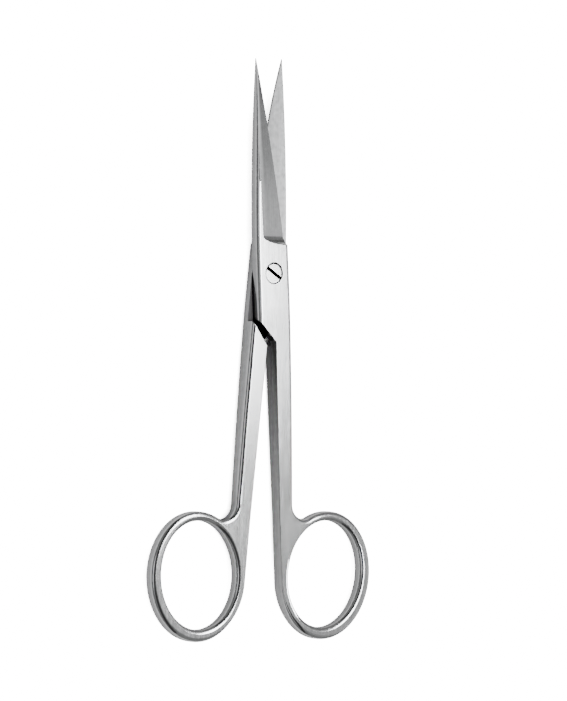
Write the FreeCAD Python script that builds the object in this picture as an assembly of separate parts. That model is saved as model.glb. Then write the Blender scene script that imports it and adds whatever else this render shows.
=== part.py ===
import FreeCAD, Part
import math
import os

os.makedirs("parts", exist_ok=True)
V = FreeCAD.Vector

# Sizes in millimetres, angles in degrees.
# A half is drawn in its own closed position: pivot axis at x = y = 0, parting plane at z = 0,
# tip towards +Y, front face towards +Z. The rear half is the same forging turned over.

# Pose, and play between the halves
open_angle = 8.6          # angle between the halves at rest
lap_gap = 0.04            # oil gap between the two lap faces
shank_gap = 0.06          # gap between the shanks when the scissors are shut
blade_lean = 1.97         # both blades stand this far to the left of the handles' centre line

# Blade
blade_length = 42.3       # pivot to tip
tip_offset = 0.20         # the tip lies this far to the spine side of the centre line
tip_width = 0.22
tip_thickness = 0.42
taper_start_y = 17.0      # the blade keeps its full thickness up to here
spine_heel_y = 5.0
spine_crown = 0.42        # height of the long spine arc over its chord
spine_round = 0.74        # rounded front corner of the spine
tip_round = 0.24          # the same corner at the tip
least_round = 0.21        # and the least it comes to where the blank runs past the tip
front_edge_heel_y = 6.6   # where the cutting edge starts, on the front and on the rear blade
rear_edge_heel_y = 17.0
front_edge_crown = 0.38   # height of the cutting edge over its chord, ground by hand on each blade
rear_edge_crown = 0.70
edge_land = 0.20          # thickness left by the grind at the cutting edge
bevel_width = 0.26        # sharpened bevel along the cutting edge
bevel_height = 0.32
edge_thickness = 0.05
ground_steps = 9          # sections through which the ground faces are drawn

# Ground face: its upper border, and the scoop that ends it at the heel
ridge_heel_x = -2.30
ridge_lower_y = 19.0
ridge_lower_x = -2.05
ridge_upper_y = 30.5
ridge_upper_x = -1.22
ridge_tip_x = -0.15
scoop_y = 7.5
scoop_drop = 0.35         # the wheel's edge ran this much lower at the cutting edge than at the ridge
scoop_radius = 1.8

# Box, where the halves lap
box_half_width = 3.95
lap_thickness = 1.95
box_low_y = -9.0          # the box face is flat down to here
shoulder_left_y = -9.10   # the slanted shoulder, at the left wall and at the shank
shoulder_right_y = -13.50
shoulder_gap = 0.62       # play between a shoulder and the other half's box
box_overlap = 2.0         # width over which the two flanks of the box run into each other
join_drop = 1.2           # the right flank starts this far below the scoop

# Shank
belly_y = -18.0
belly_half_width = 4.07
waist_y = -40.0
waist_half_width = 3.75
neck_half_width = 3.45
inner_round = 0.18        # the inner edges of the shank stay nearly sharp

# Finger ring
ring_y = -60.33
ring_tilt = 11.7          # the long axis leans outwards at the top
opening_width = 18.24
opening_height = 21.26
rim_side = 2.19           # mean width of the rim beside the opening
rim_end = 2.15            # mean width of the rim above and below the opening
opening_shift = 0.28      # the opening sits this much nearer to the shank than the rim's outline
opening_rise = 0.30       # and this much higher
ring_thickness = 2.70
ring_level_y = -48.0      # the handle has the ring's thickness from here on
taper_ease = 300.0        # radius that eases the handle's taper at both ends
rim_round = 0.86          # rounded corners of ring and shank
rim_turn = 55.0           # part of the ring over which the shank's sharp corner turns round
notch_radius = 3.0        # corner between shank and ring

# Pivot screw
head_radius = 2.05
head_land = 0.25
head_sink = 0.03
screw_radius = 1.25
head_clearance = 0.07
bore_clearance = 0.05
thread_clearance = 0.02
slot_width = 0.56
slot_depth = 0.85
slot_angle = -31.0

# How far a cut, or a blank that is cut later, runs past the half
margin = 4.0

# Sizes that follow from the ones above
inner_x = shank_gap / 2.0
lap_face_z = lap_gap / 2.0
half_open = open_angle / 2.0
join_y = scoop_y - join_drop

sketch = FreeCAD.newDocument("scissors")


def line(start, end):
    return Part.LineSegment(start, end).toShape()


def arc(start, middle, end):
    return Part.Arc(start, middle, end).toShape()


def prism(edges, low, high):
    """Upright solid over a closed outline in the XY plane."""
    face = Part.Face(Part.Wire(edges))
    face.translate(V(0, 0, low))
    return face.extrude(V(0, 0, high - low))


def polygon_prism(points, low, high):
    corners = [V(x, y, 0) for x, y in points]
    return prism(Part.makePolygon(corners + corners[:1]).Edges, low, high)


def cylinder(radius, low, high):
    return Part.makeCylinder(radius, high - low, V(0, 0, low))


def cone(low_radius, low, high_radius, high):
    return Part.makeCone(low_radius, high_radius, high - low, V(0, 0, low))


def rounded(solid, radii):
    """Round edges, each given as (edge number, radius at its start, radius at its end)."""
    blank = sketch.addObject("Part::Feature", "blank")
    blank.Shape = solid
    soft = sketch.addObject("Part::Fillet", "soft")
    soft.Base = blank
    soft.Edges = radii
    sketch.recompute()
    return soft.Shape


def upright_edge(solid, x, y):
    """The upright edge that stands at a point of the XY plane."""
    def offset(edge):
        box = edge.BoundBox
        return math.hypot(box.XMin - x, box.YMin - y) + math.hypot(box.XMax - x, box.YMax - y)
    return min(solid.Edges, key=offset)


def middle_of(edge):
    return edge.valueAt((edge.FirstParameter + edge.LastParameter) / 2.0)


class Bow:
    """A shallow arc between two points of the XY plane that bulges to the left of its way."""

    def __init__(self, start, end, crown):
        way = end - start
        reach = way.Length / 2.0
        side = V(-way.y, way.x, 0).normalize()
        self.start = start
        self.end = end
        self.side = side
        self.radius = (reach * reach + crown * crown) / (2.0 * crown)
        self.centre = (start + end) * 0.5 - side * (self.radius - crown)

    def x_at(self, y):
        """The x of the arc, or of its continuation, at a height y."""
        rise = y - self.centre.y
        return self.centre.x + math.copysign(math.sqrt(self.radius ** 2 - rise ** 2), self.side.x)

    def edge(self, low_y, high_y):
        """The arc from low_y to high_y."""
        heights = (low_y, (low_y + high_y) / 2.0, high_y)
        return arc(*[V(self.x_at(y), y, 0) for y in heights])


class Ring:
    """The finger ring's outer outline: a tilted ellipse that touches the shank's inner line."""

    def __init__(self):
        tilt = math.radians(ring_tilt)
        self.short = opening_width / 2.0 + rim_side
        self.long = opening_height / 2.0 + rim_end
        self.across = V(math.cos(tilt), -math.sin(tilt), 0)
        self.along = V(math.sin(tilt), math.cos(tilt), 0)
        self.lag = math.atan2(self.long * self.along.x, self.short * self.across.x)
        self.reach = math.hypot(self.long * self.along.x, self.short * self.across.x)
        self.centre = V(inner_x + self.reach, ring_y - opening_rise, 0)
        self.ellipse = self.outline(self.short, self.long, self.centre)

    def outline(self, short, long, centre):
        return Part.Ellipse(centre + self.along * long, centre - self.across * short, centre)

    def point(self, turn):
        """A point of the outline; the turn is counted from its leftmost point, anticlockwise."""
        return self.ellipse.value(self.lag + math.pi / 2.0 + turn)

    def arc(self, first, last):
        start = self.lag + math.pi / 2.0
        return Part.ArcOfEllipse(self.ellipse, start + first, start + last).toShape()

    def turn_at(self, x):
        """The turn at which the outline comes back to x, near the shank."""
        return math.pi + math.acos((x - self.centre.x) / self.reach)

    def opening(self):
        """Solid that fills the finger opening."""
        centre = self.centre + V(-opening_shift, opening_rise, 0)
        hole = self.outline(opening_width / 2.0, opening_height / 2.0, centre)
        return prism([hole.toShape()], -margin, margin)


def eased_bend(before, corner, after):
    """The arc that eases a slight bend, as its start, middle and end."""
    back = (before - corner).normalize()
    ahead = (after - corner).normalize()
    half = back.getAngle(ahead) / 2.0
    reach = taper_ease / math.tan(half)
    inward = (back + ahead).normalize()
    middle = corner + inward * (taper_ease / math.sin(half) - taper_ease)
    return corner + back * reach, middle, corner + ahead * reach


def front_radius():
    """Radius of the bow that the blade's front surface makes, seen from the side."""
    drop = lap_thickness - tip_thickness
    run = blade_length - taper_start_y
    return (run * run + drop * drop) / (2.0 * drop)


def front_height(y):
    """Height of the front surface at a place y along the blade."""
    radius = front_radius()
    ahead = max(y - taper_start_y, 0.0)
    return lap_thickness - radius + math.sqrt(radius * radius - ahead * ahead)


def thickness_profile(floor):
    """Everything below the front surface of a half and above the floor line.

    The floor is a height, or None for a handle that is the same at front and back.
    """
    tip_y = blade_length + margin
    end_y = ring_y - opening_height
    top = V(0, tip_y, front_height(tip_y))
    knee = V(0, (taper_start_y + tip_y) / 2.0, front_height((taper_start_y + tip_y) / 2.0))
    flat = V(0, taper_start_y, lap_thickness)
    box_low = V(0, box_low_y, lap_thickness)
    ring_high = V(0, ring_level_y, ring_thickness / 2.0)
    ring_low = V(0, end_y, ring_thickness / 2.0)
    upper = eased_bend(flat, box_low, ring_high)
    lower = eased_bend(box_low, ring_high, ring_low)
    if floor is None:
        flat = V(0, join_y, lap_thickness)
        front = [line(flat, upper[0])]
    else:
        front = [arc(top, knee, flat), line(flat, upper[0])]
    front += [arc(*upper), line(upper[2], lower[0]), arc(*lower), line(lower[2], ring_low)]
    if floor is None:
        back = [edge.mirror(V(0, 0, 0), V(0, 0, 1)) for edge in front]
        ends = [line(V(0, join_y, -lap_thickness), flat), line(ring_low, V(0, end_y, -ring_low.z))]
    else:
        back = []
        corners = [ring_low, V(0, end_y, floor), V(0, tip_y, floor), top]
        ends = [line(a, b) for a, b in zip(corners, corners[1:])]
    outline = Part.Wire(Part.sortEdges(front + back + ends)[0])
    face = Part.Face(outline)
    reach = 2.0 * opening_width
    face.translate(V(-reach, 0, 0))
    return face.extrude(V(2.0 * reach, 0, 0))


class Blade:
    """One blade with its flank of the box, as ground for the front or the rear half."""

    def __init__(self, lean_side, edge_heel_y, edge_crown):
        self.lean = -lean_side * math.tan(math.radians(blade_lean))
        tip_x = self.lean * blade_length - tip_offset
        heel = V(-box_half_width, spine_heel_y, 0)
        tip = V(tip_x, blade_length, 0)
        edge_tip = V(tip_x + tip_width, blade_length, 0)
        self.edge_heel_y = edge_heel_y
        self.spine = Bow(heel, tip, spine_crown)
        self.edge = Bow(edge_tip, V(box_half_width, edge_heel_y, 0), edge_crown)

    def blank(self):
        """The flank of the box and the blade before grinding, with its rounded spine."""
        top_y = blade_length + margin / 2.0
        heel = self.spine.start
        low = V(-box_half_width, 2.0 * shoulder_right_y, 0)
        top = V(self.spine.x_at(top_y), top_y, 0)
        wide = box_half_width + margin
        corners = [top, V(wide, top_y, 0), V(wide, join_y, 0), V(box_overlap, join_y, 0)]
        corners += [V(box_overlap, low.y, 0), low, heel]
        edges = [line(a, b) for a, b in zip(corners, corners[1:])]
        edges.append(self.spine.edge(heel.y, top_y))
        solid = prism(Part.sortEdges(edges)[0], lap_face_z, margin)
        solid = solid.common(thickness_profile(lap_face_z))
        return rounded(solid, self.spine_radii(solid))

    def spine_radii(self, solid):
        """The front corner of wall and spine: one radius, getting smaller up to the tip."""
        radii = []
        for number, edge in enumerate(solid.Edges, 1):
            middle = middle_of(edge)
            box = edge.BoundBox
            on_wall = middle.x < self.spine.x_at(max(middle.y, spine_heel_y)) + 0.3
            if on_wall and middle.z > front_height(middle.y) - 0.2 and box.YLength > 0.5:
                ends = [self.spine_radius(vertex.Point.y) for vertex in edge.Vertexes]
                radii.append((number, ends[0], ends[1]))
        return radii

    def spine_radius(self, y):
        share = max(y - taper_start_y, 0.0) / (blade_length - taper_start_y)
        return max(spine_round + (tip_round - spine_round) * share, least_round)

    def outline(self):
        """The finished outline of blade and flank, seen from the front."""
        wide = box_half_width + margin
        tip_y = blade_length
        corners = [V(self.edge.end.x, self.edge_heel_y, 0), V(box_half_width, join_y, 0)]
        corners += [V(box_overlap, join_y, 0), V(box_overlap, shoulder_right_y, 0)]
        corners += [V(inner_x, shoulder_right_y, 0), V(-box_half_width, shoulder_left_y, 0)]
        corners += [V(-wide, shoulder_left_y, 0), V(-wide, tip_y, 0), self.edge.start]
        edges = [line(a, b) for a, b in zip(corners, corners[1:])]
        edges.append(self.edge.edge(self.edge_heel_y, tip_y))
        return prism(Part.sortEdges(edges)[0], -margin, margin)

    def grind(self, pairs):
        """The cut above a smooth face that passes through pairs of points, left and right."""
        sections = []
        for left, right in pairs:
            way = (right - left).normalize() * (margin / 2.0)
            sections.append(Part.Wire([line(left - way, right + way)]))
        face = Part.makeLoft(sections, False, False).Faces[0]
        return face.extrude(V(0, 0, lap_thickness + margin))

    def ground_line(self, y, ridge_x):
        """Where the ground face meets the front surface and the cutting edge at y."""
        ridge = V(ridge_x + self.lean * y, y, front_height(y))
        return ridge, V(self.edge.x_at(y), y, lap_face_z + edge_land)

    def scoop_line(self):
        """The line across the blade at which the ground face starts and the scoop ends."""
        ridge, edge = self.ground_line(scoop_y, ridge_heel_x)
        return ridge, edge - V(0, scoop_drop, 0)

    def ground_face(self):
        """The cut that grinds the blade from its ridge down to the cutting edge."""
        end_y = blade_length + margin / 2.0
        reach = (end_y - blade_length) / (end_y - ridge_upper_y)
        end_x = ridge_tip_x + (ridge_tip_x - ridge_upper_x) * reach
        stations = [(scoop_y, ridge_heel_x), (ridge_lower_y, ridge_lower_x)]
        stations += [(ridge_upper_y, ridge_upper_x), (blade_length, ridge_tip_x), (end_y, end_x)]
        ridge = Part.BSplineCurve()
        ridge.interpolate([V(x, y, 0) for y, x in stations])
        pairs = [self.ground_line(p.y, p.x) for p in ridge.discretize(ground_steps)]
        pairs[0] = self.scoop_line()
        return self.grind(pairs)

    def scoop(self):
        """The round end of the ground face, left by the edge of the grinding wheel."""
        ridge, edge = self.scoop_line()
        way = (edge - ridge).normalize()
        up = V(-way.z, 0, way.x).normalize()
        start = ridge - way * (margin / 2.0)
        height = lap_thickness + margin
        low = start
        middle = start + V(0, -scoop_radius * math.sin(math.pi / 4.0), 0)
        middle += up * (scoop_radius * (1.0 - math.cos(math.pi / 4.0)))
        side = start + V(0, -scoop_radius, 0) + up * scoop_radius
        top = start + V(0, -scoop_radius, 0) + up * height
        back = start + up * height
        edges = [arc(low, middle, side), line(side, top), line(top, back), line(back, low)]
        face = Part.Face(Part.Wire(edges))
        return face.extrude(way * (3.0 * box_half_width))

    def bevel(self):
        """The narrow sharpened bevel along the cutting edge."""
        pairs = []
        span = blade_length + margin / 2.0 - self.edge_heel_y
        for step in range(ground_steps):
            y = self.edge_heel_y + span * step / (ground_steps - 1)
            x = self.edge.x_at(y)
            inner = V(x - bevel_width, y, lap_face_z + bevel_height)
            pairs.append((inner, V(x, y, lap_face_z + edge_thickness)))
        return self.grind(pairs)


def handle():
    """Right flank of the box, shank and finger ring, the same at front and back."""
    ring = Ring()
    neck_turn = ring.turn_at(neck_half_width)
    neck = ring.point(neck_turn)
    touch = ring.point(0.0)
    top = V(box_half_width, join_y, 0)
    wall_points = [neck, V(waist_half_width, waist_y, 0), V(belly_half_width, belly_y, 0), top]
    wall = Part.BSplineCurve()
    wall.interpolate(wall_points)
    inner_top = V(inner_x, join_y, 0)
    turn = math.radians(rim_turn)
    edges = [line(inner_top, touch), ring.arc(0.0, turn), ring.arc(turn, neck_turn)]
    edges += [wall.toShape(), line(top, inner_top)]
    solid = prism(edges, -margin, margin)
    solid = solid.makeFillet(notch_radius, [upright_edge(solid, neck.x, neck.y)])
    solid = solid.common(thickness_profile(None))
    solid = solid.cut(ring.opening())
    return rounded(solid, handle_radii(solid, ring))


def handle_radii(solid, ring):
    """Corners of shank and ring: nearly sharp inside the shank, well rounded elsewhere."""
    radii = []
    for number, edge in enumerate(solid.Edges, 1):
        middle = middle_of(edge)
        box = edge.BoundBox
        runs_across = box.YLength < 0.01
        if abs(middle.z) > ring_thickness / 4.0 and not runs_across:
            ends = [corner_radius(vertex.Point, middle, ring) for vertex in edge.Vertexes]
            radii.append((number, ends[0], ends[-1]))
    return radii


def corner_radius(point, middle, ring):
    if abs(middle.x - inner_x) < 0.001:
        return inner_round
    at_touch = abs(point.x - inner_x) < 0.001
    if at_touch and point.y < ring_level_y:
        return inner_round
    return rim_round


def half(lean_side, edge_heel_y, edge_crown, hole):
    """One half of the scissors in its closed position."""
    blade = Blade(lean_side, edge_heel_y, edge_crown)
    solid = blade.blank().common(blade.outline())
    solid = solid.fuse(handle().cut(lap_recess()))
    for cut in (blade.ground_face(), blade.scoop(), blade.bevel(), hole):
        solid = solid.cut(cut)
    return solid.removeSplitter().Solids[0]


def lap_recess():
    """Room for the other half's box behind this half, down to the full-thickness shoulder."""
    rise = shoulder_left_y - shoulder_right_y
    run = box_half_width + inner_x
    lower = shoulder_gap * math.hypot(rise, run) / run
    slope = rise / run
    left_y = shoulder_right_y - lower - slope * margin
    right_y = shoulder_left_y - lower + slope * margin
    wide = box_half_width + margin
    points = [(-inner_x - margin, left_y), (wide, right_y), (wide, join_y + margin)]
    points.append((-inner_x - margin, join_y + margin))
    return polygon_prism(points, -margin, lap_face_z)


def countersunk_hole():
    """Hole in the front half: running bore and a countersink for the head."""
    head_low = lap_thickness - head_sink - head_land
    cone_low = head_low - (head_radius - screw_radius)
    sink_radius = head_radius + head_clearance
    sink = cylinder(sink_radius, head_low, lap_thickness + margin)
    taper = cone(screw_radius + head_clearance, cone_low, sink_radius, head_low)
    return cylinder(screw_radius + bore_clearance, -margin, head_low).fuse(taper).fuse(sink)


def threaded_hole():
    return cylinder(screw_radius + thread_clearance, -margin, margin)


def pivot_screw():
    """Countersunk slotted screw, its end ground flush with the rear half."""
    top = lap_thickness - head_sink
    head_low = top - head_land
    cone_low = head_low - (head_radius - screw_radius)
    solid = cylinder(screw_radius, -lap_thickness, cone_low)
    solid = solid.fuse(cone(screw_radius, cone_low, head_radius, head_low))
    solid = solid.fuse(cylinder(head_radius, head_low, top))
    slot = Part.makeBox(margin * 2.0, slot_width, margin)
    slot.translate(V(-margin, -slot_width / 2.0, top - slot_depth))
    slot.rotate(V(0, 0, 0), V(0, 0, 1), slot_angle)
    return solid.cut(slot).removeSplitter()


def placed(solid, angle):
    """Turn a half to its rest angle and set the rear half's outer face at z = 0."""
    solid.rotate(V(0, 0, 0), V(0, 0, 1), angle)
    solid.translate(V(0, 0, lap_thickness))
    return solid


front = half(1.0, front_edge_heel_y, front_edge_crown, countersunk_hole())
rear = half(-1.0, rear_edge_heel_y, rear_edge_crown, threaded_hole())
rear.rotate(V(0, 0, 0), V(0, 1, 0), 180.0)

placed(front, half_open).exportStep("parts/front_half.step")
placed(rear, -half_open).exportStep("parts/rear_half.step")
placed(pivot_screw(), 0.0).exportStep("parts/pivot_screw.step")
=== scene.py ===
import logging
import math
from collections.abc import Sequence
from dataclasses import dataclass, field, replace
from enum import Enum

import bpy
from mathutils import Matrix, Vector

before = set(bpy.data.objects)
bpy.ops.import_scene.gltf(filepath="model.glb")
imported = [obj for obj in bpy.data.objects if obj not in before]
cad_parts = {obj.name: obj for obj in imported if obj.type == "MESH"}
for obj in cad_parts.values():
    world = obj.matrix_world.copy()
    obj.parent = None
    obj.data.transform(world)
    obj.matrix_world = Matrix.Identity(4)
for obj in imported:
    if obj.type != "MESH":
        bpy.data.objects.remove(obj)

Tree = bpy.types.NodeTree
Socket = bpy.types.NodeSocket
Spot = tuple[float, float, float]
Colour = tuple[float, float, float, float]

MM = 0.001
LEFT = (-1.0, 0.0, 0.0)
TIPWARDS = (0.0, 1.0, 0.0)
BLADE_LEAN = 0.11  # how far the rear blade leans to the right, per millimetre of its length
GROUND_UP = 0.78  # upward share of the ground face's direction
GROUND_SPREAD = 0.20  # how far that share varies over the ground face
CREVICE_PAINTED_SHADE = "#1C1B1A"  # painted shade: the colour steel takes where facing steel stands near
PAPER_WHITE = "#FFFFFF"
NOISE_LIMITS = (0.3, 0.7)  # values that a noise texture mostly stays between
WAVE_FACTOR = 20.0  # Blender's wave texture multiplies its scale by this
RAMP_TOP = 2.0  # brightness that the world's ramp stores as white
NEARBY_SAMPLES = 8  # rays by which a material feels for steel nearby
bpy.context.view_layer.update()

logging.basicConfig(level=logging.INFO, format="%(message)s")
log = logging.getLogger("scissors")


class Body(Enum):
    """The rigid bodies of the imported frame."""

    REAR = "rear_body"
    FRONT = "front_body"


class Grain(Enum):
    """How the last polishing step leaves its fine lines."""

    ALONG = "along"
    TURNED = "turned"


class Mixed(Enum):
    """What a mix node mixes: Blender's name for it and the number of its output."""

    NUMBER = ("FLOAT", 0)
    DIRECTION = ("VECTOR", 1)
    COLOUR = ("RGBA", 2)


def linear(hex_colour: str) -> Colour:
    """Turn an sRGB hex colour into the linear colour that shaders use.

    Args:
        hex_colour: Six hex digits, with or without a leading hash.

    Returns:
        Linear red, green, blue and an alpha of one.
    """
    digits = hex_colour.lstrip("#")
    channels = [int(digits[i : i + 2], 16) / 255.0 for i in (0, 2, 4)]
    bent = [c / 12.92 if c <= 0.04045 else ((c + 0.055) / 1.055) ** 2.4 for c in channels]
    return (bent[0], bent[1], bent[2], 1.0)


def metres(*lengths_mm: float) -> tuple[float, ...]:
    """Turn millimetres into metres.

    Args:
        lengths_mm: Lengths or coordinates in millimetres.

    Returns:
        The same in metres.
    """
    return tuple(length * MM for length in lengths_mm)


def add_node(tree: Tree, kind: str, links: dict | None = None,
             **settings: object) -> bpy.types.Node:
    """Add one shader node with its settings and its incoming links.

    Args:
        tree: The node tree.
        kind: Blender's node type name.
        links: Input name or number to an output socket, or to a plain value.
        settings: Properties of the node itself.

    Returns:
        The new node.
    """
    node = tree.nodes.new(kind)
    for name, value in settings.items():
        setattr(node, name, value)
    for key, value in (links or {}).items():
        socket = node.inputs[key]
        if isinstance(value, Socket):
            tree.links.new(value, socket)
        else:
            socket.default_value = value
    return node


def empty_tree(owner: bpy.types.Material | bpy.types.World) -> Tree:
    """Give a new material or world an empty node tree.

    Args:
        owner: The material or world.

    Returns:
        Its node tree.
    """
    owner.use_nodes = True
    owner.node_tree.nodes.clear()
    return owner.node_tree


def calc(tree: Tree, operation: str, *values: Socket | float) -> Socket:
    """Add one step of arithmetic.

    Args:
        tree: The node tree.
        operation: Blender's name of the operation.
        values: Its operands in order.

    Returns:
        Socket with the result.
    """
    return add_node(tree, "ShaderNodeMath", dict(enumerate(values)), operation=operation).outputs[0]


def calc_vector(tree: Tree, operation: str, *values: Socket | Spot) -> Socket:
    """Add one step of vector arithmetic.

    Args:
        tree: The node tree.
        operation: Blender's name of the operation.
        values: Its operands in order.

    Returns:
        Socket with the result, which is a number for lengths, distances and dot products.
    """
    node = add_node(tree, "ShaderNodeVectorMath", dict(enumerate(values)), operation=operation)
    is_number = operation in ("DOT_PRODUCT", "DISTANCE", "LENGTH")
    return node.outputs["Value" if is_number else "Vector"]


def part_of(tree: Tree, vector: Socket, axis: str) -> Socket:
    """Take one coordinate of a place or direction.

    Args:
        tree: The node tree.
        vector: Socket with the place or direction.
        axis: X, Y or Z.

    Returns:
        Socket with the coordinate.
    """
    return add_node(tree, "ShaderNodeSeparateXYZ", {"Vector": vector}).outputs[axis]


def add_range(tree: Tree, value: Socket, before: Sequence[float],
              after: Sequence[float] = (0.0, 1.0), smooth: bool = False) -> Socket:
    """Carry a value over from one range into another, and hold it at the ends.

    Args:
        tree: The node tree.
        value: Socket with the value.
        before: Both ends of the range that it comes from.
        after: What the two ends become.
        smooth: Ease in and out instead of a straight line.

    Returns:
        Socket with the result.
    """
    links = {"Value": value, "From Min": before[0], "From Max": before[1],
             "To Min": after[0], "To Max": after[1]}
    kind = "SMOOTHSTEP" if smooth else "LINEAR"
    return add_node(tree, "ShaderNodeMapRange", links, interpolation_type=kind).outputs["Result"]


def add_mix(tree: Tree, mixed: Mixed, share: Socket | float, first: Socket | Colour,
            second: Socket | Colour) -> Socket:
    """Mix two numbers, directions or colours.

    Args:
        tree: The node tree.
        mixed: What is mixed.
        share: How much of the second.
        first: Socket or value at a share of zero.
        second: Socket or value at a share of one.

    Returns:
        Socket with the mixture.
    """
    data_type, output = mixed.value
    first_input = 2 + 2 * output
    links = {0: share, first_input: first, first_input + 1: second}
    return add_node(tree, "ShaderNodeMix", links, data_type=data_type).outputs[output]


def add_noise(tree: Tree, place: Socket, size_mm: float, detail: float,
              roughness: float = 0.5) -> Socket:
    """Add an even, cloudy noise.

    Args:
        tree: The node tree.
        place: Socket with the place on the object.
        size_mm: Size of the coarsest clouds.
        detail: How many finer layers are added.
        roughness: How strong the finer layers are.

    Returns:
        Socket with the noise, around one half.
    """
    links = {"Vector": place, "Scale": 1.0 / (size_mm * MM), "Detail": detail,
             "Roughness": roughness}
    return add_node(tree, "ShaderNodeTexNoise", links).outputs["Fac"]


def add_ramp(tree: Tree, source: Socket, stops: list[tuple[float, float]]) -> Socket:
    """Add a grey colour ramp that eases between its stops.

    Args:
        tree: The node tree.
        source: Socket that drives the ramp.
        stops: Position and grey value of each stop, by rising position.

    Returns:
        Socket with the grey.
    """
    node = add_node(tree, "ShaderNodeValToRGB", {"Fac": source})
    ramp = node.color_ramp
    ramp.interpolation = "EASE"
    while len(ramp.elements) > 1:
        ramp.elements.remove(ramp.elements[-1])
    ramp.elements[0].position = stops[0][0]
    ramp.elements[0].color = (stops[0][1],) * 3 + (1.0,)
    for position, value in stops[1:]:
        element = ramp.elements.new(position)
        element.color = (value,) * 3 + (1.0,)
    return node.outputs["Color"]


def add_openness(tree: Tree, reach_mm: float) -> Socket:
    """Add how open a place is: one on open ground, less where steel stands near.

    Args:
        tree: The node tree.
        reach_mm: How far away the steel still counts.

    Returns:
        Socket with the openness.
    """
    links = {"Distance": reach_mm * MM}
    shade = add_node(tree, "ShaderNodeAmbientOcclusion", links, samples=NEARBY_SAMPLES)
    return shade.outputs["AO"]


@dataclass(frozen=True)
class CuttingEdge:
    """The cutting edge of one blade as an arc of a circle, at rest, seen from the front.

    Attributes:
        centre_mm: The circle's centre.
        radius_mm: The circle's radius.
        strip_mm: Width of the strip on the lap face that is whetted along the edge.
        slope: Slope of that strip towards the edge.
    """

    centre_mm: tuple[float, float]
    radius_mm: float
    strip_mm: float = 0.30
    slope: float = 1.60


@dataclass(frozen=True)
class BladeRidge:
    """The ridge between a blade's outer wall and its ground face, as an arc seen from the front.

    Attributes:
        centre_mm: The circle's centre.
        radius_mm: The circle's radius.
        heel_mm: Heights along the blade between which the eased ridge fades in.
        half_width_mm: Half the width over which the belt has eased the ridge.
        facing_deg: Where the eased ridge faces, in degrees up from level left.
        hollow_mm: Width of the hollow beside the ridge, near the heel and near the tip.
        hollow_at_mm: Heights along the blade of those two places.
        slope: Slope of that hollow at the ridge.
        fading: Power by which the slope fades away from the ridge.
    """

    centre_mm: tuple[float, float]
    radius_mm: float
    heel_mm: tuple[float, float] = (17.8, 18.2)
    half_width_mm: float = 0.14
    facing_deg: float = 47.0
    hollow_mm: tuple[float, float] = (2.1, 0.85)
    hollow_at_mm: tuple[float, float] = (10.0, 33.0)
    slope: float = 0.34
    fading: float = 2.0


@dataclass(frozen=True)
class WheelRunout:
    """Where the grinding wheel was lifted off the ground face, which leaves it slightly hollow.

    Attributes:
        start_mm: Height along the blade where the hollow starts.
        end_mm: Height along the blade where it is deepest.
        slope: Its slope towards the tip.
    """

    start_mm: float = 8.9
    end_mm: float = 6.9
    slope: float = 0.13


@dataclass(frozen=True)
class ScrewSeat:
    """How the screw sits in its hole: where painted shade shows as dark lines in its slot and seam.

    Attributes:
        slot_angle: Angle of the slot in degrees.
        slot_half_mm: Half the width of the dark band along the slot.
        seam_radius_mm: Radius of the bright face, beyond which the edge is dark.
        seam_shift_mm: How far that bright face sits off the screw's axis.
    """

    slot_angle: float = -31.0
    slot_half_mm: float = 0.37
    seam_radius_mm: float = 1.86
    seam_shift_mm: tuple[float, float] = (-0.13, -0.11)


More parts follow.
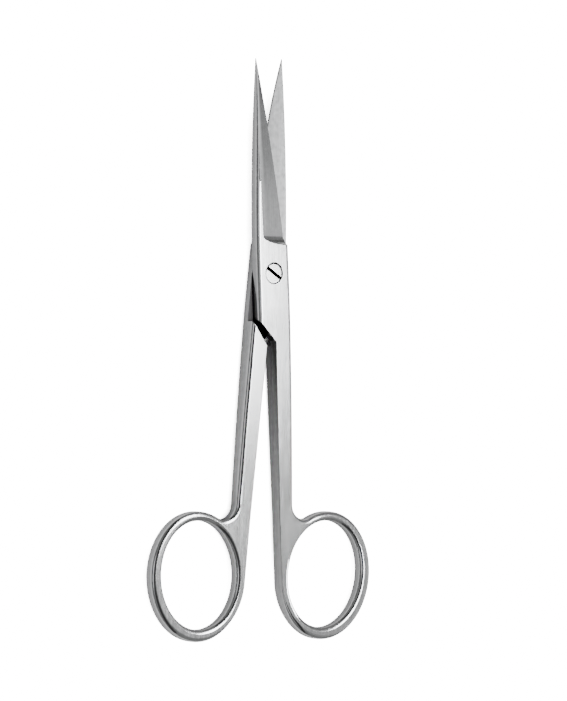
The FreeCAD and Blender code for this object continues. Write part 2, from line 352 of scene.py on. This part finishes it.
@dataclass(frozen=True)
class SteelFinish:
    """Stainless steel as the grinder and polisher leave it.

    Attributes:
        name: Name of the material, for the real metal and its making.
        tone: The metal's own colour as sRGB hex.
        roughness: Mean roughness of the surface.
        roughness_spread: Half of the roughness range that the grain causes.
        grain: Direction of the fine lines.
        grain_width_mm: Width of one line.
        grain_length_mm: Length of one line, where the lines run along the piece.
        grain_depth_mm: Depth of the lines.
        anisotropy: How much the grain spreads reflections across itself.
        cloud_mm: Size of the faint clouds in the steel's tone.
        streak_share: How much of the change in tone comes from the grain, the rest from clouds.
        tone_range: Factors on the tone at its darkest and lightest.
        lap_height_mm: Height of the parting plane, or None where the piece has no lap face.
        lap_depth_mm: How far above and below that height the lap face may lie.
        lap_roughness: Mean roughness of the hollow-ground lap face.
        lap_roughness_spread: Half of the roughness range over its patches.
        lap_patch_mm: Size of those patches.
        lap_tilt: Slope of the lap face towards the back of the blade.
        lap_hollow: How much that slope changes per millimetre across the blade.
        edge: The blade's cutting edge, or None.
        shade_band_mm: Band across the lap face, at pivot height, with painted shade below the
            pivot, or None.
        shade_band_lean: How far that band leans to the left, per millimetre towards the tips.
        ridge: The blade's ridge, or None.
        runout: Where the grinding wheel was lifted off, or None.
        seat: Painted shade in the screw's slot and at the edge of its hole, or None.
        edge_ease_mm: Radius to which the polishing belt eases sharp edges.
        corner_mm: Place of the deep corner behind the lap, where shade is painted, or None.
        corner_reach_mm: Distance from it at which the painted shade is still full, and gone.
        crevice_reach_mm: How near facing steel has to be for painted shade to darken the steel.
        crevice_limits: Openness at which the steel is fully dark and fully bright.
    """

    name: str
    tone: str
    roughness: float
    roughness_spread: float
    grain: Grain
    grain_width_mm: float
    grain_length_mm: float
    grain_depth_mm: float
    anisotropy: float
    cloud_mm: float = 1.0
    streak_share: float = 0.55
    tone_range: tuple[float, float] = (0.60, 1.40)
    lap_height_mm: float | None = None
    lap_depth_mm: float = 0.06
    lap_roughness: float = 0.40
    lap_roughness_spread: float = 0.10
    lap_patch_mm: float = 0.9
    lap_tilt: float = 0.13
    lap_hollow: float = 0.012
    edge: CuttingEdge | None = None
    shade_band_mm: tuple[float, float] | None = None
    shade_band_lean: float = 0.07
    ridge: BladeRidge | None = None
    runout: WheelRunout | None = None
    seat: ScrewSeat | None = None
    edge_ease_mm: float = 0.16
    corner_mm: Spot | None = None
    corner_reach_mm: tuple[float, float] = (1.0, 1.35)
    crevice_reach_mm: float = 2.2
    crevice_limits: tuple[float, float] = (0.40, 0.68)

    def material(self) -> bpy.types.Material:
        """Build the material.

        Returns:
            The finished material.
        """
        made = bpy.data.materials.new(self.name)
        tree = empty_tree(made)
        place = add_node(tree, "ShaderNodeTexCoord").outputs["Object"]
        grain = self._grain(tree, place)
        bump = add_node(tree, "ShaderNodeBump", {"Height": grain, "Strength": 1.0,
                                                 "Distance": self.grain_depth_mm * MM,
                                                 "Normal": self._normal(tree, place)})
        links = {"Base Color": self._colour(tree, place, grain), "Metallic": 1.0,
                 "Roughness": self._roughness(tree, place, grain),
                 "Normal": bump.outputs["Normal"], "Anisotropic": self.anisotropy}
        if self.anisotropy > 0.0:
            links["Tangent"] = self._to_world(tree, TIPWARDS)
        steel = add_node(tree, "ShaderNodeBsdfPrincipled", links)
        add_node(tree, "ShaderNodeOutputMaterial", {"Surface": steel.outputs["BSDF"]})
        return made

    def _to_world(self, tree: Tree, way: Socket | Spot) -> Socket:
        """Turn a direction of the piece into one of the world.

        Args:
            tree: The material's node tree.
            way: The direction.

        Returns:
            Socket with the turned direction.
        """
        node = add_node(tree, "ShaderNodeVectorTransform", {"Vector": way},
                        vector_type="VECTOR", convert_from="OBJECT", convert_to="WORLD")
        return node.outputs["Vector"]

    def _tint(self, share: float) -> Colour:
        """The metal's colour made a little lighter or darker.

        Args:
            share: Factor on the colour.

        Returns:
            Linear colour with alpha.
        """
        red, green, blue, _ = linear(self.tone)
        return (min(red * share, 1.0), min(green * share, 1.0), min(blue * share, 1.0), 1.0)

    def _colour(self, tree: Tree, place: Socket, grain: Socket) -> Socket:
        """The steel's colour: slightly cloudy and streaked, with painted shade in its recesses.

        Args:
            tree: The material's node tree.
            place: Socket with the place on the object.
            grain: Socket with the height of the fine lines.

        Returns:
            Socket with the colour.
        """
        cloud = add_noise(tree, place, self.cloud_mm, detail=4.0)
        streaked = add_mix(tree, Mixed.NUMBER, self.streak_share, cloud, grain)
        darkest, lightest = [self._tint(share) for share in self.tone_range]
        tone = add_mix(tree, Mixed.COLOUR, streaked, darkest, lightest)
        # painted shade: the steel turns to the crevice colour wherever shade is painted
        unshaded = self._unshaded_share(tree, place)
        return add_mix(tree, Mixed.COLOUR, unshaded, linear(CREVICE_PAINTED_SHADE), tone)

    def _unshaded_share(self, tree: Tree, place: Socket) -> Socket:
        """One where no shade is painted, and less where painted shade darkens the steel.

        Args:
            tree: The material's node tree.
            place: Socket with the place on the object.

        Returns:
            Socket with the share.
        """
        # painted shade in crevices, where facing steel stands near
        openness = add_openness(tree, self.crevice_reach_mm)
        share = add_range(tree, openness, self.crevice_limits, smooth=True)
        # painted shade in the screw's slot and at the edge of its hole
        if self.seat is not None:
            share = calc(tree, "MULTIPLY", share, self._bright_face(tree, place))
        # painted shade in the deep corner behind the lap
        if self.corner_mm is not None:
            apart = calc_vector(tree, "DISTANCE", place, metres(*self.corner_mm))
            away = add_range(tree, apart, metres(*self.corner_reach_mm))
            share = calc(tree, "MULTIPLY", share, away)
        # painted shade in a band on the lap face below the pivot
        if self.shade_band_mm is not None:
            share = calc(tree, "MULTIPLY", share, self._shade_band_free_share(tree, place))
        return share

    def _bright_face(self, tree: Tree, place: Socket) -> Socket:
        """One on the bright face of the screw, zero in its slot and at its edge, where shade is
        painted.

        Args:
            tree: The material's node tree.
            place: Socket with the place on the object.

        Returns:
            Socket with the share.
        """
        turn = math.radians(self.seat.slot_angle)
        across = (-math.sin(turn), math.cos(turn), 0.0)
        offset = calc(tree, "ABSOLUTE", calc_vector(tree, "DOT_PRODUCT", place, across))
        beside = calc(tree, "GREATER_THAN", offset, self.seat.slot_half_mm * MM)
        _, reach = self._spoke(tree, place, self.seat.seam_shift_mm)
        inside = calc(tree, "LESS_THAN", reach, self.seat.seam_radius_mm * MM)
        return calc(tree, "MULTIPLY", beside, inside)

    def _shade_band_free_share(self, tree: Tree, place: Socket) -> Socket:
        """Zero in the band of painted shade on the lap face, and one elsewhere.

        Args:
            tree: The material's node tree.
            place: Socket with the place on the object.

        Returns:
            Socket with the share.
        """
        aside = calc_vector(tree, "DOT_PRODUCT", place, (1.0, self.shade_band_lean, 0.0))
        middle = (self.shade_band_mm[0] + self.shade_band_mm[1]) / 2.0
        half = self.shade_band_mm[1] - middle
        band = calc(tree, "COMPARE", aside, middle * MM, half * MM)
        below = calc(tree, "LESS_THAN", part_of(tree, place, "Y"), 0.0)
        in_shade_band = calc(tree, "MULTIPLY", band, below)
        in_shade_band = calc(tree, "MULTIPLY", in_shade_band, self._lap_share(tree, place))
        return calc(tree, "SUBTRACT", 1.0, in_shade_band)

    def _lap_share(self, tree: Tree, place: Socket) -> Socket:
        """One on the lap face and zero elsewhere.

        Args:
            tree: The material's node tree.
            place: Socket with the place on the object.

        Returns:
            Socket with the share.
        """
        return calc(tree, "COMPARE", part_of(tree, place, "Z"),
                    *metres(self.lap_height_mm, self.lap_depth_mm))

    def _roughness(self, tree: Tree, place: Socket, grain: Socket) -> Socket:
        """Roughness that follows the grain, coarser on the hollow-ground lap face.

        Args:
            tree: The material's node tree.
            place: Socket with the place on the object.
            grain: Socket with the height of the fine lines.

        Returns:
            Socket with the roughness.
        """
        fine = add_range(tree, grain, NOISE_LIMITS, (self.roughness - self.roughness_spread,
                                                     self.roughness + self.roughness_spread))
        if self.lap_height_mm is None:
            return fine
        patch = add_noise(tree, place, self.lap_patch_mm, detail=4.0, roughness=0.65)
        coarse = add_range(tree, patch, NOISE_LIMITS,
                           (self.lap_roughness - self.lap_roughness_spread,
                            self.lap_roughness + self.lap_roughness_spread))
        return add_mix(tree, Mixed.NUMBER, self._lap_share(tree, place), fine, coarse)

    def _normal(self, tree: Tree, place: Socket) -> Socket:
        """The surface's direction with eased edges, and with the hollows that grinding leaves.

        Args:
            tree: The material's node tree.
            place: Socket with the place on the object.

        Returns:
            Socket with the direction.
        """
        links = {"Radius": self.edge_ease_mm * MM}
        eased = add_node(tree, "ShaderNodeBevel", links, samples=NEARBY_SAMPLES)
        normal = eased.outputs["Normal"]
        height = part_of(tree, place, "Y")
        if self.lap_height_mm is not None:
            normal = self._hollow_lap(tree, place, normal)
        if self.edge is not None:
            normal = self._whetted_strip(tree, place, normal)
        if self.ridge is not None:
            normal = self._eased_ridge(tree, place, normal, height)
        if self.runout is not None:
            share = self._runout_share(tree, height)
            normal = self._leaned(tree, normal, TIPWARDS, share, self.runout.slope)
        return normal

    def _hollow_lap(self, tree: Tree, place: Socket, normal: Socket) -> Socket:
        """Tilt the lap face and make it slightly hollow across the blade.

        Args:
            tree: The material's node tree.
            place: Socket with the place on the object.
            normal: Socket with the surface's direction.

        Returns:
            Socket with the changed direction.
        """
        height, across = part_of(tree, place, "Y"), part_of(tree, place, "X")
        leaned = calc(tree, "MULTIPLY_ADD", height, -BLADE_LEAN, across)
        slope = calc(tree, "MULTIPLY_ADD", leaned, -self.lap_hollow / MM, self.lap_tilt)
        slope = calc(tree, "MULTIPLY", slope, self._lap_share(tree, place))
        tilt = add_node(tree, "ShaderNodeCombineXYZ", {"X": slope}).outputs["Vector"]
        return self._tilted(tree, normal, tilt)

    def _whetted_strip(self, tree: Tree, place: Socket, normal: Socket) -> Socket:
        """Tilt the strip of the lap face that is whetted along the cutting edge.

        Args:
            tree: The material's node tree.
            place: Socket with the place on the object.
            normal: Socket with the surface's direction.

        Returns:
            Socket with the changed direction.
        """
        way, reach = self._spoke(tree, place, self.edge.centre_mm)
        inner = (self.edge.radius_mm - self.edge.strip_mm) * MM
        strip = calc(tree, "GREATER_THAN", reach, inner)
        share = calc(tree, "MULTIPLY", strip, self._lap_share(tree, place))
        return self._leaned(tree, normal, way, share, self.edge.slope)

    def _eased_ridge(self, tree: Tree, place: Socket, normal: Socket, height: Socket) -> Socket:
        """Ease the ridge and hollow the ground face beside it.

        Args:
            tree: The material's node tree.
            place: Socket with the place on the object.
            normal: Socket with the surface's direction.
            height: Socket with the place along the blade.

        Returns:
            Socket with the changed direction.
        """
        ridge = self.ridge
        _, reach = self._spoke(tree, place, ridge.centre_mm)
        width = add_range(tree, height, metres(*ridge.hollow_at_mm), metres(*ridge.hollow_mm))
        away = calc(tree, "SUBTRACT", ridge.radius_mm * MM, reach)
        depth = add_range(tree, calc(tree, "DIVIDE", away, width), (0.0, 1.0), (1.0, 0.0))
        bent = calc(tree, "POWER", depth, ridge.fading)
        hollow = calc(tree, "MULTIPLY", bent, self._ground_share(tree))
        normal = self._leaned(tree, normal, LEFT, hollow, ridge.slope)
        near = calc(tree, "COMPARE", reach, *metres(ridge.radius_mm, ridge.half_width_mm))
        above = add_range(tree, height, metres(*ridge.heel_mm))
        share = calc(tree, "MULTIPLY", near, above)
        turn = math.radians(ridge.facing_deg)
        facing = self._to_world(tree, (-math.cos(turn), 0.0, math.sin(turn)))
        return add_mix(tree, Mixed.DIRECTION, share, normal, facing)

    def _ground_share(self, tree: Tree) -> Socket:
        """One on the ground face of the blade and zero on flat faces and walls.

        Args:
            tree: The material's node tree.

        Returns:
            Socket with the share.
        """
        shape = add_node(tree, "ShaderNodeNewGeometry").outputs["Normal"]
        upright = calc(tree, "ABSOLUTE", part_of(tree, shape, "Z"))
        return calc(tree, "COMPARE", upright, GROUND_UP, GROUND_SPREAD)

    def _runout_share(self, tree: Tree, height: Socket) -> Socket:
        """How hollow the ground face is where the wheel was lifted off it.

        Args:
            tree: The material's node tree.
            height: Socket with the place along the blade.

        Returns:
            Socket with a share from zero to one.
        """
        ends = metres(self.runout.start_mm, self.runout.end_mm)
        hollow = add_range(tree, height, ends, smooth=True)
        return calc(tree, "MULTIPLY", hollow, self._ground_share(tree))

    def _spoke(self, tree: Tree, place: Socket,
               centre_mm: tuple[float, float]) -> tuple[Socket, Socket]:
        """Direction and distance from an upright axis, seen from the front.

        Args:
            tree: The material's node tree.
            place: Socket with the place on the object.
            centre_mm: Where the axis stands.

        Returns:
            Sockets with the direction and the distance.
        """
        flat = calc_vector(tree, "MULTIPLY", place, (1.0, 1.0, 0.0))
        arm = calc_vector(tree, "SUBTRACT", flat, metres(*centre_mm, 0.0))
        return calc_vector(tree, "NORMALIZE", arm), calc_vector(tree, "LENGTH", arm)

    def _leaned(self, tree: Tree, normal: Socket, way: Socket | Spot, share: Socket,
                slope: float) -> Socket:
        """Tilt a surface direction by a slope along a way, where the share is one.

        Args:
            tree: The material's node tree.
            normal: Socket with the surface's direction.
            way: The way, in the piece's own axes.
            share: Socket with the share.
            slope: Slope along the way.

        Returns:
            Socket with the tilted direction.
        """
        links = {0: way, "Scale": calc(tree, "MULTIPLY", share, slope)}
        tilt = add_node(tree, "ShaderNodeVectorMath", links, operation="SCALE")
        return self._tilted(tree, normal, tilt.outputs["Vector"])

    def _tilted(self, tree: Tree, normal: Socket, tilt: Socket) -> Socket:
        """Tilt a surface direction by a slope given in the piece's own axes.

        Args:
            tree: The material's node tree.
            normal: Socket with the surface's direction.
            tilt: Socket with the slope.

        Returns:
            Socket with the tilted direction.
        """
        moved = calc_vector(tree, "ADD", normal, self._to_world(tree, tilt))
        return calc_vector(tree, "NORMALIZE", moved)

    def _grain(self, tree: Tree, place: Socket) -> Socket:
        """Fine lines of the last polishing step.

        Args:
            tree: The material's node tree.
            place: Socket with the place on the object.

        Returns:
            Socket with the height of the lines, around one half.
        """
        if self.grain is Grain.ALONG:
            across = 1.0 / (self.grain_width_mm * MM)
            along = 1.0 / (self.grain_length_mm * MM)
            links = {"Vector": place, "Scale": (across, along, across)}
            stretched = add_node(tree, "ShaderNodeMapping", links).outputs["Vector"]
            links = {"Vector": stretched, "Scale": 1.0, "Detail": 3.0, "Roughness": 0.6}
            return add_node(tree, "ShaderNodeTexNoise", links).outputs["Fac"]
        links = {"Vector": place, "Scale": 1.0 / (self.grain_width_mm * MM * WAVE_FACTOR),
                 "Distortion": 1.5, "Detail": 2.0, "Detail Scale": 3.0}
        rings = add_node(tree, "ShaderNodeTexWave", links, wave_type="RINGS", rings_direction="Z")
        return rings.outputs["Fac"]


# Forged stainless steel, ground and then brushed along its length: a soft satin sheen in which
# bright and dark bands stay readable, with hair lines that run from the rings to the tips. The
# hollow-ground lap face is coarser and cloudier, with a dark whetted strip along the cutting edge.
SATIN_STEEL = SteelFinish("stainless_steel_brushed_lengthwise", "#CBCCCD", roughness=0.18,
                          roughness_spread=0.03, grain=Grain.ALONG, grain_width_mm=0.26,
                          grain_length_mm=8.0, grain_depth_mm=0.0018, anisotropy=0.30,
                          lap_height_mm=1.95)
# Both halves get painted shade in the deep corner behind the lap, the rear one also in a band on
# its lap face.
FRONT_STEEL = replace(SATIN_STEEL, name="stainless_steel_brushed_lengthwise_front",
                      runout=WheelRunout(), corner_mm=(-0.1, -12.9, 2.6),
                      ridge=BladeRidge((450.126, 40.668), 454.796))
REAR_STEEL = replace(SATIN_STEEL, name="stainless_steel_brushed_lengthwise_rear",
                     shade_band_mm=(-4.2, -3.3), corner_mm=(-0.6, -12.0, 1.95),
                     corner_reach_mm=(1.3, 1.7),
                     edge=CuttingEdge((112.855, 10.015), 115.746))
# The same steel turned on a lathe and wiped bright: finer, with faint rings, and with painted shade
# in the slot and at the edge of its hole.
TURNED_STEEL = SteelFinish("stainless_steel_turned_bright", "#CFD0D1", roughness=0.17,
                           roughness_spread=0.03, grain=Grain.TURNED, grain_width_mm=0.06,
                           grain_length_mm=1.0, grain_depth_mm=0.0004, anisotropy=0.0,
                           seat=ScrewSeat())


@dataclass
class SteelPiece:
    """One CAD node of the scissors and its steel.

    Attributes:
        node: Name of the CAD node.
        body: Body it moves with.
        finish: Its steel.
    """

    node: str
    body: Body
    finish: SteelFinish

    def dress(self) -> int:
        """Give the piece its steel.

        Returns:
            Number of its faces.
        """
        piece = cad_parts[self.node]
        piece.data.materials.clear()
        piece.data.materials.append(self.finish.material())
        return len(piece.data.polygons)


@dataclass
class ScissorHalf(SteelPiece):
    """One forged half: blade, box flank, shank and finger ring."""


@dataclass
class PivotScrew(SteelPiece):
    """The slotted countersunk screw that holds the halves together and turns with the rear one."""

    node: str = "pivot_screw"
    body: Body = Body.REAR
    finish: SteelFinish = TURNED_STEEL


@dataclass
class Surroundings:
    """The studio around the steel, as its surfaces mirror it.

    The brightness is given by the angle round the instrument's long axis: 0 is level to the left,
    90 straight above the front face, 180 level to the right and -90 straight below.

    Attributes:
        brightness: Angle in degrees and linear brightness.
        cap_degrees: How far towards tips or rings the bright parts reach, full and gone.
        cap: Brightness beyond that reach.
    """

    brightness: list[tuple[float, float]] = field(default_factory=lambda: [
        (-180.0, 0.38), (-120.0, 0.42), (-60.0, 0.50), (-30.0, 0.40), (-5.0, 0.20), (30.0, 0.16),
        (41.0, 1.30), (48.0, 1.30), (60.0, 0.05), (97.0, 0.03), (106.0, 0.20), (128.0, 0.42),
        (148.0, 0.95), (160.0, 0.78), (168.0, 0.42), (180.0, 0.36),
    ])
    cap_degrees: tuple[float, float] = (7.0, 19.0)
    cap: float = 0.26

    def build(self) -> None:
        """Build the world."""
        world = bpy.data.worlds.new("studio")
        bpy.context.scene.world = world
        tree = empty_tree(world)
        way = add_node(tree, "ShaderNodeTexCoord").outputs["Generated"]
        left = calc(tree, "MULTIPLY", part_of(tree, way, "X"), -1.0)
        angle = calc(tree, "ARCTAN2", part_of(tree, way, "Z"), left)
        turn = add_range(tree, angle, (-math.pi, math.pi))
        stops = [((degrees + 180.0) / 360.0, value / RAMP_TOP)
                 for degrees, value in self.brightness]
        ramp = add_ramp(tree, turn, stops)
        aside = calc(tree, "ABSOLUTE", part_of(tree, way, "Y"))
        reach = [math.sin(math.radians(degrees)) for degrees in self.cap_degrees]
        cap = add_range(tree, aside, reach, (1.0, self.cap / RAMP_TOP), smooth=True)
        capped = calc(tree, "MINIMUM", ramp, cap)
        glow = add_node(tree, "ShaderNodeBackground", {"Color": capped, "Strength": RAMP_TOP})
        add_node(tree, "ShaderNodeOutputWorld", {"Surface": glow.outputs["Background"]})


def add_glowing_top(tree: Tree, tone: str, roughness: Socket | float, glow: Socket) -> None:
    """Finish a material as a matt surface that gives off light by itself.

    Args:
        tree: The material's node tree.
        tone: Its colour as sRGB hex.
        roughness: Its roughness.
        glow: Socket with the light it gives off by itself.
    """
    links = {"Base Color": linear(tone), "Roughness": roughness, "Specular IOR Level": 0.0,
             "Emission Color": linear(PAPER_WHITE), "Emission Strength": glow}
    top = add_node(tree, "ShaderNodeBsdfPrincipled", links)
    add_node(tree, "ShaderNodeOutputMaterial", {"Surface": top.outputs["BSDF"]})


def add_sheet(name: str, half_width: float, drop_mm: float,
              material: bpy.types.Material) -> bpy.types.Object:
    """Add a level square sheet under the instrument, as part of the stage.

    Args:
        name: Name of the sheet.
        half_width: Half of its side, in metres.
        drop_mm: How far it lies below the instrument's back.
        material: What it is made of.

    Returns:
        The sheet.
    """
    w = half_width
    z = -drop_mm * MM
    mesh = bpy.data.meshes.new(name)
    mesh.from_pydata([(-w, -w, z), (w, -w, z), (w, w, z), (-w, w, z)], [], [(0, 1, 2, 3)])
    mesh.materials.append(material)
    sheet = bpy.data.objects.new(name, mesh)
    bpy.context.scene.collection.objects.link(sheet)
    return sheet


@dataclass
class Table:
    """The table that the steel's walls mirror: a top that glows with painted light and painted
    shade.

    Attributes:
        half_width: Half of its side, in metres.
        drop_mm: How far it lies below the instrument's back.
        tone: Its colour as sRGB hex.
        roughness: Roughness of its matt top.
        glow: Painted light it gives off, in place of the studio's light falling on it.
        shade_reach_mm: How near the steel has to be for painted shade on it.
        shade_depth: Power that deepens the painted shade.
        dark_from_mm: Where the painted light starts to fade towards the right, and is faded in
            full.
        dark_lean: How far the edge of that fade leans to the left, per millimetre towards the tips.
        dark_glow: Share of the painted light that is left there.
    """

    half_width: float = 1.5
    drop_mm: float = 0.5
    tone: str = "#1A1A1A"
    roughness: float = 0.9
    glow: float = 0.95
    shade_reach_mm: float = 9.0
    shade_depth: float = 2.1
    dark_from_mm: tuple[float, float] = (12.0, 18.0)
    dark_lean: float = 0.5
    dark_glow: float = 0.12

    def build(self) -> None:
        """Build the table top, which only reflections show."""
        sheet = add_sheet("table", self.half_width, self.drop_mm, self._material())
        sheet.visible_camera = False
        sheet.visible_shadow = False

    def _material(self) -> bpy.types.Material:
        """A matt top glowing with painted light, with painted shade where the steel stands near,
        and fainter on its right.

        Returns:
            The table's material.
        """
        made = bpy.data.materials.new("table_top_painted_light")
        tree = empty_tree(made)
        # painted shade: the glow is dimmed where the steel stands near
        openness = add_openness(tree, self.shade_reach_mm)
        shade = calc(tree, "POWER", openness, self.shade_depth)
        place = add_node(tree, "ShaderNodeTexCoord").outputs["Object"]
        # painted light, fading towards the right
        aside = calc_vector(tree, "DOT_PRODUCT", place, (1.0, self.dark_lean, 0.0))
        light = add_range(tree, aside, metres(*self.dark_from_mm),
                          (self.glow, self.glow * self.dark_glow), smooth=True)
        add_glowing_top(tree, self.tone, self.roughness, calc(tree, "MULTIPLY", shade, light))
        return made


@dataclass
class Floor:
    """A wide sheet of pale paper on a light table, as the picture shows it behind the instrument.

    Attributes:
        half_width: Half of its side, in metres.
        drop_mm: How far it lies below the instrument's back.
        tone: Its colour as sRGB hex.
        fibre_mm: Size of the paper's fibre clouds.
        roughness: Lowest and highest roughness over the fibres.
        glow: Light it gives off by itself.
        shade_reach_mm: How near the steel has to be to shade the paper.
        shade_limits: Openness at which the paper is fully dark and fully bright.
        joint_mm: Where the halves part behind the joint, above paper that lies in deep shade.
        joint_reach_mm: Distance from there at which the paper is still dark, and bright again.
        joint_limits: Openness at which that deep shade is full, and gone.
    """

    half_width: float = 4.0
    drop_mm: float = 0.3
    tone: str = PAPER_WHITE
    fibre_mm: float = 2.0
    roughness: tuple[float, float] = (0.8, 0.95)
    glow: float = 17.0
    shade_reach_mm: float = 5.0
    shade_limits: tuple[float, float] = (0.20, 0.34)
    joint_mm: tuple[float, float] = (1.4, -12.8)
    joint_reach_mm: tuple[float, float] = (1.2, 1.9)
    joint_limits: tuple[float, float] = (0.44, 0.50)

    def build(self) -> None:
        """Build the floor, which only the camera sees."""
        sheet = add_sheet("floor", self.half_width, self.drop_mm, self._material())
        sheet.visible_glossy = False
        sheet.visible_diffuse = False
        sheet.visible_shadow = False

    def _material(self) -> bpy.types.Material:
        """White paper on a light table: evenly bright, with no gloss, but with painted shade near
        the steel and under the joint.

        Returns:
            The floor's material.
        """
        made = bpy.data.materials.new("white_paper_lit_through")
        tree = empty_tree(made)
        place = add_node(tree, "ShaderNodeTexCoord").outputs["Object"]
        fibre = add_noise(tree, place, self.fibre_mm, detail=2.0)
        rough = add_range(tree, fibre, (0.0, 1.0), self.roughness)
        # painted shade where the steel stands near
        openness = add_openness(tree, self.shade_reach_mm)
        light = add_range(tree, openness, self.shade_limits, (0.0, self.glow), smooth=True)
        # painted deep shade on the paper under the joint
        joint = metres(*self.joint_mm, -self.drop_mm)
        apart = calc_vector(tree, "DISTANCE", place, joint)
        away = add_range(tree, apart, metres(*self.joint_reach_mm), smooth=True)
        bare = add_range(tree, openness, self.joint_limits)
        clear = calc(tree, "MAXIMUM", away, bare)
        add_glowing_top(tree, self.tone, rough, calc(tree, "MULTIPLY", light, clear))
        return made


@dataclass
class PhotoCamera:
    """The camera where the photograph was taken from.

    Attributes:
        yaw: Degrees to the left of the line straight above the front face.
        roll: Degrees of turn about the line of sight.
        distance_mm: From the pivot to the lens.
        scale_px: Pixels per millimetre at the pivot.
        pivot_px: The pivot's place in the picture.
        picture_px: Width and height of the picture.
        pivot_mm: The pivot in the row frame.
        sensor_mm: Width of the sensor that the focal length is counted for.
        clip_m: Nearest and farthest distance that it sees, in metres.
    """

    yaw: float = 38.33
    roll: float = 1.63
    distance_mm: float = 850.0
    scale_px: float = 5.08
    pivot_px: tuple[float, float] = (268.3, 273.2)
    picture_px: tuple[int, int] = (567, 701)
    pivot_mm: Spot = (0.0, 0.0, 1.95)
    sensor_mm: float = 36.0
    clip_m: tuple[float, float] = (0.01, 50.0)

    def build(self) -> None:
        """Build the camera and make it the scene's."""
        yaw = math.radians(self.yaw)
        roll = math.radians(self.roll)
        level = Vector((math.cos(yaw), 0.0, math.sin(yaw)))
        back = Vector((-math.sin(yaw), 0.0, math.cos(yaw)))
        upright = Vector(TIPWARDS)
        right = math.cos(roll) * level + math.sin(roll) * upright
        up = math.cos(roll) * upright - math.sin(roll) * level
        aside = (self.picture_px[0] / 2.0 - self.pivot_px[0]) / self.scale_px
        below = (self.pivot_px[1] - self.picture_px[1] / 2.0) / self.scale_px
        eye = Vector(self.pivot_mm) + right * aside + up * below + back * self.distance_mm
        data = bpy.data.cameras.new("camera")
        data.sensor_width = self.sensor_mm
        data.lens = self.scale_px * self.distance_mm / max(self.picture_px) * self.sensor_mm
        data.clip_start, data.clip_end = self.clip_m
        data.dof.use_dof = False
        camera = bpy.data.objects.new("camera", data)
        bpy.context.scene.collection.objects.link(camera)
        turn = Matrix((right, up, back)).transposed().to_4x4()
        camera.matrix_world = Matrix.Translation(eye * MM) @ turn
        bpy.context.scene.camera = camera


@dataclass
class SoftBox:
    """A rectangular studio light with a diffuser.

    Attributes:
        name: Its name.
        angle: Degrees round the long axis, as in Surroundings.
        along_mm: Where it stands along the instrument.
        distance_mm: Distance from the instrument.
        width_mm: Width across the instrument.
        length_mm: Length along the instrument.
        radiance: Linear brightness of its diffuser.
    """

    name: str
    angle: float
    along_mm: float
    distance_mm: float
    width_mm: float
    length_mm: float
    radiance: float

    def build(self) -> None:
        """Build the light, facing the instrument."""
        turn = math.radians(self.angle)
        way = Vector((-math.cos(turn), 0.0, math.sin(turn)))
        data = bpy.data.lights.new(self.name, "AREA")
        data.shape = "RECTANGLE"
        data.size = self.width_mm * MM
        data.size_y = self.length_mm * MM
        data.energy = self.radiance * math.pi * data.size * data.size_y
        light = bpy.data.objects.new(self.name, data)
        bpy.context.scene.collection.objects.link(light)
        upright = Vector(TIPWARDS)
        facing = Matrix((upright.cross(way), upright, way)).transposed().to_4x4()
        place = way * self.distance_mm + upright * self.along_mm
        light.matrix_world = Matrix.Translation(place * MM) @ facing


@dataclass
class Studio:
    """Floor, surroundings, lights and camera.

    Attributes:
        floor: The floor behind the instrument.
        table: The table top that the steel mirrors.
        surroundings: What the steel mirrors.
        lights: The soft boxes.
        camera: The camera.
    """

    floor: Floor = field(default_factory=Floor)
    table: Table = field(default_factory=Table)
    surroundings: Surroundings = field(default_factory=Surroundings)
    lights: list[SoftBox] = field(default_factory=lambda: [
        SoftBox("key", angle=115.5, along_mm=79.0, distance_mm=350.0, width_mm=138.0,
                length_mm=240.0, radiance=16.0),
    ])
    camera: PhotoCamera = field(default_factory=PhotoCamera)

    def build(self) -> None:
        """Build all of it."""
        for part in (self.floor, self.table, self.surroundings, *self.lights, self.camera):
            part.build()
            log.info("%s built", type(part).__name__)


def main() -> None:
    """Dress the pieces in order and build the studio."""
    rear = ScissorHalf("rear_half", Body.REAR, REAR_STEEL)
    front = ScissorHalf("front_half", Body.FRONT, FRONT_STEEL)
    for piece in (rear, front, PivotScrew()):
        faces = piece.dress()
        log.info("%s on %s dressed in %s, %d faces", piece.node, piece.body.value,
                 piece.finish.name, faces)
    Studio().build()


if __name__ == "__main__":
    main()
